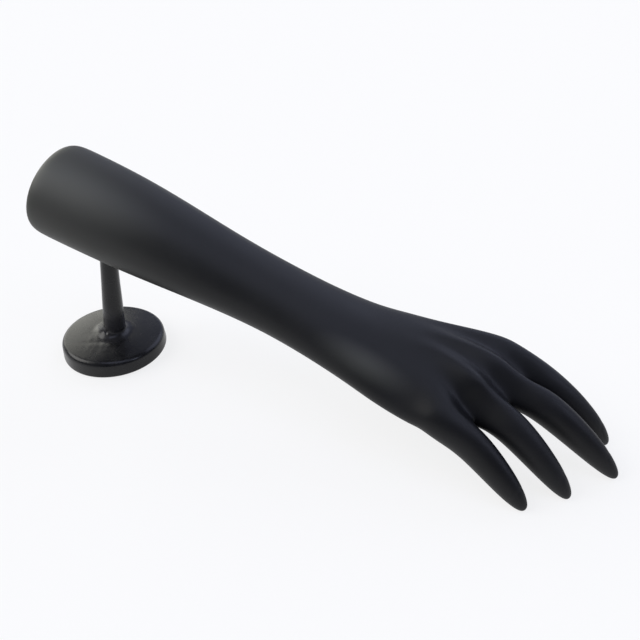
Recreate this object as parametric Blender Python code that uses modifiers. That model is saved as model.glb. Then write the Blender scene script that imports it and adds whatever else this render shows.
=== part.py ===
"""Jewellery display stand: a life-size forearm and hand that rests on its fingertips and is propped
near the elbow by a post on a round base.

Metres, +Z up. The origin is the middle of the pad under the base, on the table. +X runs along the
forearm towards the fingertips, and +Y is the thumb's side.
"""

import math

import bmesh
import bpy
import numpy as np
from mathutils import Matrix, Vector

# Driving dimensions, in metres and degrees
FIT_GAP = 0.0003

# Forearm: its axis falls from the elbow's end face to the wrist
WRIST_HEIGHT = 0.0752
FOREARM_LENGTH = 0.1950
FOREARM_SLOPE = 18.2
FOREARM_TAPER_START = 0.030
FOREARM_TAPER_STOP = 0.010
FOREARM_SWELL = 0.0020
FOREARM_SWELL_PLACE = 0.060
ELBOW_HALF_BREADTH = 0.0340
ELBOW_HALF_THICKNESS = 0.0323
ELBOW_ROUND = 0.013
WRIST_HALF_BREADTH = 0.0267
WRIST_HALF_THICKNESS = 0.0212

# Sections of the hand: forward of the wrist, towards the thumb, drop below the wrist,
# half breadth, half thickness, roll and slope
HEEL_SECTION = (0.037, -0.0028, 0.0122, 0.0317, 0.0186, 8.0, 12.7)
THENAR_SECTION = (0.059, -0.0044, 0.0176, 0.0364, 0.0185, 13.0, 7.3)
PALM_SECTION = (0.084, -0.0074, 0.0216, 0.0394, 0.0174, 16.5, 5.5)
PALM_HOLLOW = 0.0026

# Places round the palm's section, in degrees from the middle of the back, that lead the lines of the fingers
# over the back of the hand, how far each section follows them, and the furrows between the lines
FINGER_COLUMNS = (-70.0, -24.0, -6.0, 13.0, 24.0, 35.0, 48.0, 61.0, 80.0)
THENAR_FOLLOW = 0.5
FURROW = 0.0030

# Digits: knuckle (forward of the wrist, towards the thumb, drop below the wrist),
# tip (forward, towards the thumb, height), bend, half width and half height at the knuckle
LITTLE_FINGER = ((0.097, -0.0305, 0.0300), (0.1618, -0.0521, 0.0005), 23.0, 0.0104, 0.0145)
RING_FINGER = ((0.111, -0.0150, 0.0182), (0.1867, -0.0336, 0.0003), 24.0, 0.0112, 0.0139)
MIDDLE_FINGER = ((0.121, 0.0042, 0.0154), (0.2145, -0.0067, 0.0005), 26.0, 0.0110, 0.0141)
INDEX_FINGER = ((0.123, 0.0245, 0.0184), (0.2082, 0.0215, 0.0005), 35.0, 0.0106, 0.0132)
THUMB = ((0.068, 0.0415, 0.0277), (0.1400, 0.0605, 0.0010), 16.0, 0.0110, 0.0132)
FINGER_TAPER = 0.34
FINGER_POINT = 6.0
FLANK_ANGLE = 27.0

# Rings round all the fingers: share of each finger's length, valley between neighbours, thickness there,
# and how far the hand's edge stands out beside the little finger
KNUCKLE_RING = ((0.0, 0.0, 0.0, 0.0), 0.0115, 0.0130, 0.0045)
CLEFT_RING = ((0.10, 0.10, 0.11, 0.11), 0.0180, 0.0062, 0.0040)
WEB_RING = ((0.19, 0.21, 0.25, 0.23), 0.0205, 0.0045, 0.0026)

# Core of the forearm, open at the elbow and closed by a plug
MOUTH_WALL = 0.0098
DEEP_WALL = 0.0067
CORE_SETBACK = 0.0305
PLUG_THICKNESS = 0.008

# Pedestal: a leaning post and a round base cast in one
POST_SETBACK = 0.0392
POST_LEAN = 8.0
POST_TOP_RADIUS = 0.0061
POST_FOOT_RADIUS = 0.0082
POST_ENGAGEMENT = 0.006
FOOT_FILLET = 0.009
BASE_RADIUS = 0.040
BASE_HEIGHT = 0.0135
BASE_CROWN = 0.0010
BASE_RIM_ROUND = 0.0045
BASE_LOWER_ROUND = 0.0015
BASE_LIFT = 0.0004
PAD_MARGIN = 0.0055
PAD_THICKNESS = 0.0015

# Fixings along the post
ANCHOR_RADIUS = 0.016
INSERT_RADIUS = 0.0055
INSERT_LENGTH = 0.018
ROD_RADIUS = 0.003
ROD_PROTRUSION = 0.001
WASHER_RADIUS = 0.006
WASHER_THICKNESS = 0.0016
NUT_ACROSS_FLATS = 0.010
NUT_HEIGHT = 0.005
RECESS_CLEARANCE = 0.0015

# Counts, and shares of a length at which the smooth forms have a ring
SUBDIVISION_LEVEL = 2
FOREARM_SHARES = (0.34, 0.62, 0.90)
FINGER_SHARES = (0.36, 0.57, 0.79, 0.93, 0.99)
THUMB_SHARES = (0.28, 0.44, 0.61, 0.78, 0.92, 0.99)
TURNED_STEPS = 40
SMALL_STEPS = 24
NUT_SIDES = 6
SHARP_ANGLE = 35.0

FINGERS = (LITTLE_FINGER, RING_FINGER, MIDDLE_FINGER, INDEX_FINGER)
SIDE_COLUMNS = 2 * len(FINGERS) + 1
EVEN_COLUMNS = (np.arange(SIDE_COLUMNS) - SIDE_COLUMNS // 2) * (180.0 / SIDE_COLUMNS)
SLOPE = math.radians(FOREARM_SLOPE)
LEAN = math.radians(POST_LEAN)
FOREARM_DIRECTION = np.array([math.cos(SLOPE), 0.0, -math.sin(SLOPE)])
ELBOW_Z = WRIST_HEIGHT + FOREARM_LENGTH * math.sin(SLOPE)
POST_AXIS_Z = ELBOW_Z - POST_SETBACK * math.sin(SLOPE)
ELBOW_X = POST_AXIS_Z * math.tan(LEAN) - POST_SETBACK * math.cos(SLOPE)
ELBOW = np.array([ELBOW_X, 0.0, ELBOW_Z])
WRIST = ELBOW + FOREARM_LENGTH * FOREARM_DIRECTION
CORE_DEPTH = FOREARM_LENGTH - CORE_SETBACK
PAD_RADIUS = BASE_RADIUS - PAD_MARGIN


def core_radius(depth):
    """Radius of the forearm's tapering core at a depth from the elbow's end face."""
    mouth = ELBOW_HALF_THICKNESS - MOUTH_WALL
    deep = WRIST_HALF_THICKNESS - DEEP_WALL
    return mouth + (deep - mouth) * depth / CORE_DEPTH


# Distances up the leaning post's axis, from the table
AXIS_TO_FOREARM = POST_AXIS_Z / math.cos(LEAN)
CORE_FLOOR = AXIS_TO_FOREARM - core_radius(POST_SETBACK) / math.cos(SLOPE - LEAN)
POST_TOP = CORE_FLOOR + POST_ENGAGEMENT
POST_NECK = AXIS_TO_FOREARM - ELBOW_HALF_THICKNESS - FOREARM_SWELL - POST_TOP_RADIUS
INSERT_BOTTOM = POST_TOP + FIT_GAP
INSERT_TOP = INSERT_BOTTOM + INSERT_LENGTH
ROD_TOP = INSERT_TOP - ROD_PROTRUSION
PAD_ROOF = PAD_THICKNESS + FIT_GAP
ROD_BOTTOM = PAD_ROOF + RECESS_CLEARANCE
NUT_BOTTOM = ROD_BOTTOM + ROD_PROTRUSION
NUT_TOP = NUT_BOTTOM + NUT_HEIGHT
NUT_RADIUS = NUT_ACROSS_FLATS / 2.0 / math.cos(math.pi / NUT_SIDES)
WASHER_BOTTOM = NUT_TOP + FIT_GAP
WASHER_TOP = WASHER_BOTTOM + WASHER_THICKNESS
RECESS_TOP = WASHER_TOP + FIT_GAP
RECESS_RADIUS = max(WASHER_RADIUS, NUT_RADIUS) + RECESS_CLEARANCE


def clear_scene():
    for item in list(bpy.data.objects):
        bpy.data.objects.remove(item, do_unlink=True)


def make_collection(name):
    collection = bpy.data.collections.new(name)
    bpy.context.scene.collection.children.link(collection)
    return collection


def make_material(name, colour, roughness, metallic=0.0):
    material = bpy.data.materials.new(name)
    material.use_nodes = True
    shader = material.node_tree.nodes["Principled BSDF"]
    shader.inputs["Base Color"].default_value = (*colour, 1.0)
    shader.inputs["Roughness"].default_value = roughness
    shader.inputs["Metallic"].default_value = metallic
    return material


def make_axis(name, collection, matrix):
    axis = bpy.data.objects.new(name, None)
    collection.objects.link(axis)
    axis.matrix_world = matrix
    return axis


def make_object(mesh, collection, parent=None):
    item = bpy.data.objects.new(mesh.name, mesh)
    collection.objects.link(item)
    item.parent = parent
    return item


def make_cutter(mesh, collection, parent=None):
    cutter = make_object(mesh, collection, parent)
    cutter.hide_render = True
    cutter.display_type = "WIRE"
    return cutter


def make_part(mesh, collection, material, parent=None, sharp_angle=SHARP_ANGLE):
    part = make_object(mesh, collection, parent)
    mesh.materials.append(material)
    mesh.shade_smooth()
    mesh.set_sharp_from_angle(angle=math.radians(sharp_angle))
    return part


def boolean(part, tool, operation="DIFFERENCE"):
    modifier = part.modifiers.new(tool.name, "BOOLEAN")
    modifier.operation = operation
    modifier.object = tool
    modifier.solver = "EXACT"


def mesh_from(bm, name):
    bmesh.ops.recalc_face_normals(bm, faces=bm.faces)
    mesh = bpy.data.meshes.new(name)
    bm.to_mesh(mesh)
    bm.free()
    return mesh


def cylinder_mesh(name, radius, bottom, top, steps=SMALL_STEPS, top_radius=None):
    """Cylinder or cone along Z between two heights."""
    bm = bmesh.new()
    upper = radius if top_radius is None else top_radius
    place = Matrix.Translation((0.0, 0.0, (bottom + top) / 2.0))
    bmesh.ops.create_cone(bm, cap_ends=True, segments=steps, radius1=radius, radius2=upper,
                          depth=top - bottom, matrix=place)
    return mesh_from(bm, name)


def core_mesh(name, start, stop, clearance=0.0):
    """Stretch of the forearm's core between two depths, drawn in by a clearance."""
    return cylinder_mesh(name, core_radius(start) - clearance, start, stop, TURNED_STEPS,
                         core_radius(stop) - clearance)


def smoothstep(value):
    share = min(max(value, 0.0), 1.0)
    return share * share * (3.0 - 2.0 * share)


def swell(count):
    """How much wider a cage ring of this many points is than the smooth ring it makes."""
    return 3.0 / (2.0 + math.cos(2.0 * math.pi / count))


# Rings of the arm's cage run over the back from little finger to thumb, then return along the palm side

def section_ring(centre, half_breadth, half_thickness, slope, roll=0.0, hollow=0.0, columns=EVEN_COLUMNS):
    """Ellipse square to a sloping axis, rolled about it, with the palm side raised by a hollow."""
    across = np.array([0.0, 1.0, 0.0])
    upward = np.array([math.sin(slope), 0.0, math.cos(slope)])
    side = across * math.cos(roll) + upward * math.sin(roll)
    up = upward * math.cos(roll) - across * math.sin(roll)
    grown = swell(2 * SIDE_COLUMNS)
    breadth, thickness = half_breadth * grown * side, half_thickness * grown * up
    above = np.radians(columns)[:, None]
    below = np.radians(EVEN_COLUMNS)[:, None]
    back = centre + np.sin(above) * breadth + np.cos(above) * thickness
    palm = centre + np.sin(below) * breadth - np.cos(below) * thickness + hollow * np.cos(below) ** 4 * up
    return np.concatenate([back, palm[::-1]])


def forearm_ring(distance, inset=0.0):
    """Forearm's section at a distance from the elbow: tapers to the wrist, and is fullest near the elbow."""
    taper_length = FOREARM_LENGTH - FOREARM_TAPER_START - FOREARM_TAPER_STOP
    taper = smoothstep((distance - FOREARM_TAPER_START) / taper_length)
    swelling = math.sin(math.pi / 2.0 * min(distance / FOREARM_SWELL_PLACE, 2.0))
    fullness = FOREARM_SWELL / 2.0 * swelling
    half_breadth = ELBOW_HALF_BREADTH + (WRIST_HALF_BREADTH - ELBOW_HALF_BREADTH) * taper
    half_thickness = ELBOW_HALF_THICKNESS + (WRIST_HALF_THICKNESS - ELBOW_HALF_THICKNESS) * taper
    centre = ELBOW + distance * FOREARM_DIRECTION + np.array([0.0, 0.0, fullness])
    grown = fullness - inset
    return section_ring(centre, half_breadth + grown, half_thickness + grown, SLOPE)


def hand_point(forward, sideways, drop):
    return np.array([WRIST[0] + forward, sideways, WRIST_HEIGHT - drop])


def hand_ring(section, hollow=0.0, follow=0.0, furrow=0.0):
    """Section of the hand whose columns follow the fingers' lines by a share, with furrows between the lines."""
    forward, sideways, drop, half_breadth, half_thickness, roll, slope = section
    centre = hand_point(forward, sideways, drop)
    columns = EVEN_COLUMNS + follow * (np.array(FINGER_COLUMNS) - EVEN_COLUMNS)
    ring = section_ring(centre, half_breadth, half_thickness, math.radians(slope), math.radians(roll), hollow, columns)
    ring[2:SIDE_COLUMNS - 1:2, 2] -= furrow
    return ring


class Digit:
    """Tapering finger along a circular arc in the upright plane through its knuckle and tip."""

    def __init__(self, knuckle, tip, bend, half_width, half_height, hand=1.0):
        self.knuckle = hand_point(*knuckle)
        self.half_width = half_width
        self.half_height = half_height
        chord = np.array([WRIST[0] + tip[0], tip[1], tip[2]]) - self.knuckle
        reach = math.hypot(chord[0], chord[1])
        self.forward = np.array([chord[0] / reach, chord[1] / reach, 0.0])
        self.side = hand * np.array([-self.forward[1], self.forward[0], 0.0])
        self.bend = math.radians(bend)
        self.radius = math.hypot(reach, chord[2]) / (2.0 * math.sin(self.bend / 2.0))
        self.start = math.atan2(chord[2], reach) + self.bend / 2.0

    def centre(self, share):
        angle = self.start - self.bend * share
        along = self.radius * (math.sin(self.start) - math.sin(angle))
        rise = self.radius * (math.cos(angle) - math.cos(self.start))
        return self.knuckle + along * self.forward + np.array([0.0, 0.0, rise])

    def up(self, share):
        angle = self.start - self.bend * share
        return np.array([0.0, 0.0, math.cos(angle)]) - math.sin(angle) * self.forward

    def ring(self, share):
        """Six points: back left, back middle, back right, palm right, palm middle, palm left."""
        size = (1.0 - FINGER_TAPER * share) * math.sqrt(1.0 - share ** FINGER_POINT)
        flank = FLANK_ANGLE
        angles = np.radians([180.0 - flank, 90.0, flank, -flank, -90.0, flank - 180.0])[:, None]
        across = self.half_width * np.cos(angles) * self.side
        rise = self.half_height * np.sin(angles) * self.up(share)
        return self.centre(share) + size * swell(len(angles)) * (across + rise)


def joined_ring(fingers, shares, valley, thickness, edge):
    """One ring round all the fingers at shares of their lengths, with a valley between each two, and with the
    hand's edge standing out beside the first."""
    rings = [finger.ring(share) for finger, share in zip(fingers, shares)]
    outward = edge * fingers[0].side
    back = [rings[0][0] - outward, rings[0][1]]
    palm = [rings[0][5] - outward, rings[0][4]]
    for left, right in zip(rings, rings[1:]):
        crest = (left[1] + right[1]) / 2.0
        floor = (left[4] + right[4]) / 2.0
        down = (floor - crest) / np.linalg.norm(floor - crest)
        back += [crest + down * valley, right[1]]
        palm += [crest + down * (valley + thickness), right[4]]
    back.append(rings[-1][2])
    palm.append(rings[-1][3])
    return np.array(back + palm[::-1])


def add_ring(bm, points):
    return [bm.verts.new(Vector(point)) for point in points]


def bridge(bm, first, second, open_column=None):
    count = len(first)
    for index in range(count):
        if index != open_column:
            following = (index + 1) % count
            bm.faces.new((first[index], first[following], second[following], second[index]))


def close_ring(bm, ring):
    """Strip of four-sided faces across a ring, from its back half to its palm half."""
    for index in range(len(ring) // 2 - 1):
        bm.faces.new((ring[index], ring[index + 1], ring[-index - 2], ring[-index - 1]))


def add_digit(bm, root, digit, shares):
    previous = root
    for share in shares:
        ring = add_ring(bm, digit.ring(share))
        bridge(bm, previous, ring)
        previous = ring
    close_ring(bm, previous)


def arm_cage():
    """Coarse cage of the forearm, palm, fingers and thumb in one skin."""
    fingers = [Digit(*values) for values in FINGERS]
    thumb = Digit(*THUMB, hand=-1.0)
    forearm = [forearm_ring(0.0, ELBOW_ROUND), forearm_ring(0.0), forearm_ring(ELBOW_ROUND)]
    forearm += [forearm_ring(FOREARM_LENGTH * share) for share in FOREARM_SHARES]
    hand = [
        hand_ring(HEEL_SECTION),
        hand_ring(THENAR_SECTION, PALM_HOLLOW, THENAR_FOLLOW),
        hand_ring(PALM_SECTION, PALM_HOLLOW, 1.0, FURROW),
        joined_ring(fingers, *KNUCKLE_RING),
        joined_ring(fingers, *CLEFT_RING),
        joined_ring(fingers, *WEB_RING),
    ]
    bm = bmesh.new()
    rings = [add_ring(bm, outline) for outline in forearm + hand]
    heel, thenar, palm, knuckles, cleft, web = rings[len(forearm):]
    thumb_side = SIDE_COLUMNS - 1
    close_ring(bm, rings[0])
    for first, second in zip(rings, rings[1:]):
        bridge(bm, first, second, thumb_side if first in (heel, thenar) else None)
    for index, finger in enumerate(fingers):
        start = 2 * index
        below = [web[-1 - column] for column in range(start + 2, start - 1, -1)]
        add_digit(bm, web[start:start + 3] + below, finger, FINGER_SHARES)
    root = [ring[thumb_side] for ring in (heel, thenar, palm)]
    root += [ring[thumb_side + 1] for ring in (palm, thenar, heel)]
    add_digit(bm, root, thumb, THUMB_SHARES)
    return mesh_from(bm, "arm_casting")


def arc_points(centre, radius, start, stop, count):
    angles = np.radians(np.linspace(start, stop, count))
    return [(centre[0] + radius * math.cos(a), centre[1] + radius * math.sin(a)) for a in angles]


def pedestal_profile():
    """Half outline from the post's top, down its side and over the base, to the middle underneath."""
    fillet_centre = (POST_FOOT_RADIUS + FOOT_FILLET, BASE_HEIGHT + FOOT_FILLET)
    rim_centre = (BASE_RADIUS - BASE_RIM_ROUND, BASE_HEIGHT - BASE_CROWN - BASE_RIM_ROUND)
    lower_centre = (BASE_RADIUS - BASE_LOWER_ROUND, BASE_LIFT + BASE_LOWER_ROUND)
    points = [(0.0, POST_TOP), (POST_TOP_RADIUS, POST_TOP), (POST_TOP_RADIUS, POST_NECK)]
    points += arc_points(fillet_centre, FOOT_FILLET, 180.0, 265.0, 6)
    points += arc_points(rim_centre, BASE_RIM_ROUND, 85.0, 0.0, 5)
    points += arc_points(lower_centre, BASE_LOWER_ROUND, 0.0, -90.0, 3)
    points.append((0.0, BASE_LIFT))
    return points


def leaned(point):
    """Point of the upright profile tipped about the origin: not at all in the base, fully in the post."""
    share = smoothstep((point.z - BASE_HEIGHT) / FOOT_FILLET)
    return Matrix.Rotation(LEAN * share, 3, "Y") @ point


def pedestal_mesh(collection):
    """Profile turned about the upright axis, with the post above the base's fillet tipped to its lean."""
    profile = bpy.data.meshes.new("pedestal_profile")
    points = [(radius, 0.0, height) for radius, height in pedestal_profile()]
    edges = [(index, index + 1) for index in range(len(points) - 1)]
    profile.from_pydata(points, edges, [])
    turned = make_object(profile, collection)
    screw = turned.modifiers.new("Turn", "SCREW")
    screw.steps = TURNED_STEPS
    screw.render_steps = TURNED_STEPS
    screw.use_merge_vertices = True
    screw.merge_threshold = 0.00001
    bpy.context.view_layer.update()
    evaluated = turned.evaluated_get(bpy.context.evaluated_depsgraph_get())
    mesh = bpy.data.meshes.new_from_object(evaluated)
    bpy.data.objects.remove(turned)
    mesh.name = "pedestal_casting"
    for vertex in mesh.vertices:
        vertex.co = leaned(vertex.co)
    return mesh


def build():
    clear_scene()
    stand = make_collection("hand_jewelry_stand")
    cutters = make_collection("cutters")
    along_forearm = Matrix.Translation(Vector(ELBOW)) @ Matrix.Rotation(math.pi / 2.0 + SLOPE, 4, "Y")
    forearm_axis = make_axis("forearm_axis", stand, along_forearm)
    post_axis = make_axis("post_axis", stand, Matrix.Rotation(LEAN, 4, "Y"))

    # Cutting tools
    core = make_cutter(core_mesh("core", -ELBOW_ROUND, CORE_DEPTH), cutters, forearm_axis)
    fitted_core = make_cutter(core_mesh("fitted_core", 0.0, CORE_DEPTH, FIT_GAP), cutters, forearm_axis)
    post_hole_mesh = cylinder_mesh("post_hole", POST_TOP_RADIUS + FIT_GAP, BASE_HEIGHT, INSERT_BOTTOM)
    post_hole = make_cutter(post_hole_mesh, cutters, post_axis)
    insert_hole_mesh = cylinder_mesh("insert_hole", INSERT_RADIUS + FIT_GAP, POST_TOP, INSERT_TOP + FIT_GAP)
    insert_hole = make_cutter(insert_hole_mesh, cutters, post_axis)
    rod_hole_mesh = cylinder_mesh("rod_hole", ROD_RADIUS + FIT_GAP, 0.0, INSERT_TOP + FIT_GAP)
    rod_hole = make_cutter(rod_hole_mesh, cutters, post_axis)
    nut_recess = make_cutter(cylinder_mesh("nut_recess", RECESS_RADIUS, 0.0, RECESS_TOP), cutters, post_axis)
    pad_seat_mesh = cylinder_mesh("pad_seat", PAD_RADIUS + FIT_GAP, -PAD_ROOF, PAD_ROOF, TURNED_STEPS)
    pad_seat = make_cutter(pad_seat_mesh, cutters)
    table = make_cutter(cylinder_mesh("table", 3.0 * FOREARM_LENGTH, -WRIST_HEIGHT, 0.0), cutters)

    # Arm: one hollow casting, its fingertips flattened where they rest on the table
    arm_black = make_material("arm_black", (0.012, 0.012, 0.013), 0.5)
    arm = make_part(arm_cage(), stand, arm_black, sharp_angle=180.0)
    smoothing = arm.modifiers.new("Smooth form", "SUBSURF")
    smoothing.levels = SUBDIVISION_LEVEL
    smoothing.render_levels = SUBDIVISION_LEVEL
    for tool in (core, post_hole, table):
        boolean(arm, tool)

    # Plug in the elbow's mouth
    plug_black = make_material("plug_black", (0.012, 0.012, 0.013), 0.5)
    make_part(core_mesh("elbow_plug", 0.0, PLUG_THICKNESS, FIT_GAP), stand, plug_black, forearm_axis)

    # Block bonded across the core, which takes the post's top and the threaded insert
    anchor_resin = make_material("anchor_resin", (0.32, 0.28, 0.20), 0.6)
    anchor_mesh = cylinder_mesh("anchor_block", ANCHOR_RADIUS, POST_NECK, 2.0 * AXIS_TO_FOREARM - POST_NECK)
    anchor = make_part(anchor_mesh, stand, anchor_resin, post_axis)
    boolean(anchor, fitted_core, "INTERSECT")
    boolean(anchor, post_hole)
    boolean(anchor, insert_hole)

    insert_brass = make_material("insert_brass", (0.62, 0.45, 0.17), 0.35, 1.0)
    insert_mesh = cylinder_mesh("threaded_insert", INSERT_RADIUS, INSERT_BOTTOM, INSERT_TOP)
    insert = make_part(insert_mesh, stand, insert_brass, post_axis)
    boolean(insert, rod_hole)

    # Pedestal: post and base in one, with the rod's bore, the nut's recess and the pad's seat
    pedestal_black = make_material("pedestal_black", (0.010, 0.010, 0.010), 0.35)
    pedestal = make_part(pedestal_mesh(stand), stand, pedestal_black)
    for tool in (rod_hole, nut_recess, pad_seat):
        boolean(pedestal, tool)

    # Rod that ties the base to the arm, with its washer and nut under the base
    rod_steel = make_material("rod_steel", (0.50, 0.50, 0.50), 0.35, 1.0)
    make_part(cylinder_mesh("tie_rod", ROD_RADIUS, ROD_BOTTOM, ROD_TOP), stand, rod_steel, post_axis)

    washer_steel = make_material("washer_steel", (0.55, 0.55, 0.55), 0.35, 1.0)
    washer_mesh = cylinder_mesh("clamp_washer", WASHER_RADIUS, WASHER_BOTTOM, WASHER_TOP)
    washer = make_part(washer_mesh, stand, washer_steel, post_axis)
    boolean(washer, rod_hole)

    nut_steel = make_material("nut_steel", (0.55, 0.55, 0.55), 0.35, 1.0)
    nut_mesh = cylinder_mesh("clamp_nut", NUT_RADIUS, NUT_BOTTOM, NUT_TOP, NUT_SIDES)
    nut = make_part(nut_mesh, stand, nut_steel, post_axis)
    boolean(nut, rod_hole)

    # Pad seated under the base
    pad_felt = make_material("pad_felt", (0.015, 0.015, 0.015), 0.9)
    make_part(cylinder_mesh("base_pad", PAD_RADIUS, 0.0, PAD_THICKNESS, TURNED_STEPS), stand, pad_felt)


build()
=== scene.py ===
"""The jewelry hand as photographed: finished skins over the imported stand, materials, light and camera.

Metres, +Z up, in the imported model's frame: the origin is the middle of the pad under the round base, +X
runs along the forearm to the fingertips and +Y is the thumb's side.
"""

import math

import bmesh
import bpy
import numpy as np
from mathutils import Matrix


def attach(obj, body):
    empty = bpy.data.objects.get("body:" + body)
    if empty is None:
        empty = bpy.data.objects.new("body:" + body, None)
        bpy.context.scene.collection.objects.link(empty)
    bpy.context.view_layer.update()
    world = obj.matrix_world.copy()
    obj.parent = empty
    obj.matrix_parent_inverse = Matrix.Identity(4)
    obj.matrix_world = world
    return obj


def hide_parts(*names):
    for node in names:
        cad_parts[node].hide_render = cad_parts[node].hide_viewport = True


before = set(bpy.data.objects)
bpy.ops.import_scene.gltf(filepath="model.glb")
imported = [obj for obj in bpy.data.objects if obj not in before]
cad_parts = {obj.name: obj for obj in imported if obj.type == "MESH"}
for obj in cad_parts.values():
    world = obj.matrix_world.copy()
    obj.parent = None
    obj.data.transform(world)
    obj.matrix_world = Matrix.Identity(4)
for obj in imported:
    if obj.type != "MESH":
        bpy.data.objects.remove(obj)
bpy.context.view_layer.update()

# Sizes that the stand's source also has, in metres and degrees
FIT_GAP = 0.0003
WRIST_HEIGHT = 0.0752
FOREARM_LENGTH = 0.1950
FOREARM_SLOPE = math.radians(18.2)
FOREARM_TAPER = (0.030, 0.010)
FOREARM_SWELL = (0.0020, 0.060)
FOREARM_PLACES = (0.34, 0.62, 0.90)
ELBOW_HALF = (0.0340, 0.0323)
ELBOW_ROUND = 0.013
WRIST_HALF = (0.0267, 0.0212)
MOUTH_RADIUS = ELBOW_HALF[1] - 0.0098
CORE_END_RADIUS = WRIST_HALF[1] - 0.0067
CORE_DEPTH = FOREARM_LENGTH - 0.0305
PLUG_THICKNESS = 0.008
POST_SETBACK = 0.0392
POST_LEAN = math.radians(8.0)
POST_TOP_RADIUS = 0.0061
POST_FOOT_RADIUS = 0.0082
POST_ENGAGEMENT = 0.006
BASE_RADIUS = 0.040
BASE_HEIGHT = 0.0135
BASE_LOWER_ROUND = 0.0015
BASE_LIFT = 0.0004
PAD_RADIUS = BASE_RADIUS - 0.0055
PAD_THICKNESS = 0.0015
ROD_RADIUS = 0.003
RECESS_RADIUS = 0.0075
RECESS_TOP = 0.0115

# Digits, also from the source: knuckle (from the wrist: along, aside, down), tip (along, aside, above
# the table), bend in degrees, half width and half height. Then their taper, the point's power, the angle
# of their flanks, the angles of the columns that lead to them over the hand's back, how far each of the
# hand's sections follows those, and the places of their rings
LITTLE_FINGER = ((0.097, -0.0305, 0.0300), (0.1618, -0.0521, 0.0005), 23.0, 0.0104, 0.0145)
RING_FINGER = ((0.111, -0.0150, 0.0182), (0.1867, -0.0336, 0.0003), 24.0, 0.0112, 0.0139)
MIDDLE_FINGER = ((0.121, 0.0042, 0.0154), (0.2145, -0.0067, 0.0005), 26.0, 0.0110, 0.0141)
INDEX_FINGER = ((0.123, 0.0245, 0.0184), (0.2082, 0.0215, 0.0005), 35.0, 0.0106, 0.0132)
THUMB = ((0.068, 0.0415, 0.0277), (0.1400, 0.0605, 0.0010), 16.0, 0.0110, 0.0132)
FINGER_TAPER = 0.34
FINGER_POINT = 6.0
FLANK = 27.0
FINGER_COLUMNS = (-70.0, -24.0, -6.0, 13.0, 24.0, 35.0, 48.0, 61.0, 80.0)
FINGER_LINES = (0.0, 0.5, 1.0)
FINGER_PLACES = (0.36, 0.57, 0.79, 0.93, 0.99)
THUMB_PLACES = (0.28, 0.44, 0.61, 0.78, 0.92, 0.99)

# Hand's sections: along, aside, down, half breadth, half thickness, roll, slope and the palm's hollow.
# Then the furrows' depth and columns, and the rings at the finger roots: shares along the fingers,
# depth and thickness of the valleys, and how far the hand's edge stands out. Knuckles, clefts and that
# edge are up to 2 mm softer here than in the source.
HEEL = (0.037, -0.0028, 0.0122, 0.0317, 0.0186, 8.0, 12.7, 0.0)
THENAR = (0.059, -0.0044, 0.0176, 0.0364, 0.0185, 13.0, 7.3, 0.0026)
PALM = (0.084, -0.0067, 0.0216, 0.0394, 0.0174, 16.5, 5.5, 0.0026)
FURROW = 0.0008
FURROW_COLUMNS = slice(2, 7, 2)
KNUCKLE_RING = ((0.0, 0.0, 0.0, 0.0), 0.0120, 0.0125, 0.0058)
CLEFT_RING = ((0.10, 0.10, 0.11, 0.11), 0.0195, 0.0047, 0.0052)
WEB_RING = ((0.19, 0.21, 0.25, 0.23), 0.0205, 0.0045, 0.0038)

# Nails: half width against the fingertip's, middle and half length as shares of the digit, squareness
# of their outline, rise inside it, and depth and width of the groove round it
NAIL_WIDTH = 0.74
NAIL_MIDDLE = 0.945
NAIL_HALF_LENGTH = 0.125
NAIL_SQUARENESS = 3
NAIL_RISE = 0.00003
NAIL_GROOVE = 0.00010
NAIL_GROOVE_WIDTH = 0.12

# Where a nail may be: shares of the digit, then the share, height and part of its outline over which it
# fades in, farthest point to the side, highest point, and the last share and least size at which the
# fingertip's width is read
NAIL_SHARES = (0.70, 1.10)
NAIL_FADE = 0.08
NAIL_FADE_HEIGHT = 0.0015
NAIL_FADE_EDGE = 0.2
NAIL_SIDE = 0.02
NAIL_HEIGHT = 0.015
TIP_SHARE = 0.985
TIP_WIDTH = 0.001

# Unevenness of the skins, each wave a height, a wavelength and a phase
ARM_WAVES = ((0.00008, 0.052, 0.4),)
PEDESTAL_WAVES = ((0.00006, 0.027, 1.3),)
FOOT_WAVES = ((0.00022, 0.011, 0.6), (0.00010, 0.005, 2.2))
PAD_WAVES = ((0.00005, 0.0031, 0.9), (0.00004, 0.0017, 2.9))

# Faults of the pedestal's casting: rough skin and a bubble's pit at the post's foot, a nick in the rim
FOOT_ROUGH = (0.0, -0.0110, 0.0170)
FOOT_ROUGH_SIZE = 0.014
FOOT_PIT = (0.0014, -0.0094, 0.0208)
FOOT_PIT_SIZE = 0.0013
FOOT_PIT_DEPTH = 0.0011
RIM_NICK = (0.0163, 0.0324, 0.0124)
RIM_NICK_SIZE = 0.0014
RIM_NICK_DEPTH = 0.0005

# Base as it came from the mould: a low dome over a wall that leans in, its top a little out of true
DOME_TOP = BASE_HEIGHT + 0.0020
DOME_SLOPES = (3.0, 10.0)
DOME_FILLET = 0.0085
SHOULDER_ROUND = 0.0045
SHOULDER_HEIGHT = 0.0089
WALL_LEAN = 5.0
TOP_TILT = (-0.030, -0.030)

# Plain part of the post's neck, height at which the base's lumps begin, and easing of turned edges
NECK_RUN = 0.004
LUMPS_FROM = 0.002
SEAT_EASE = 0.001
PLUG_EASE = 0.0007
PLUG_DISH = (0.0004, 0.0003)
PAD_EASE = 0.0005

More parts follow.
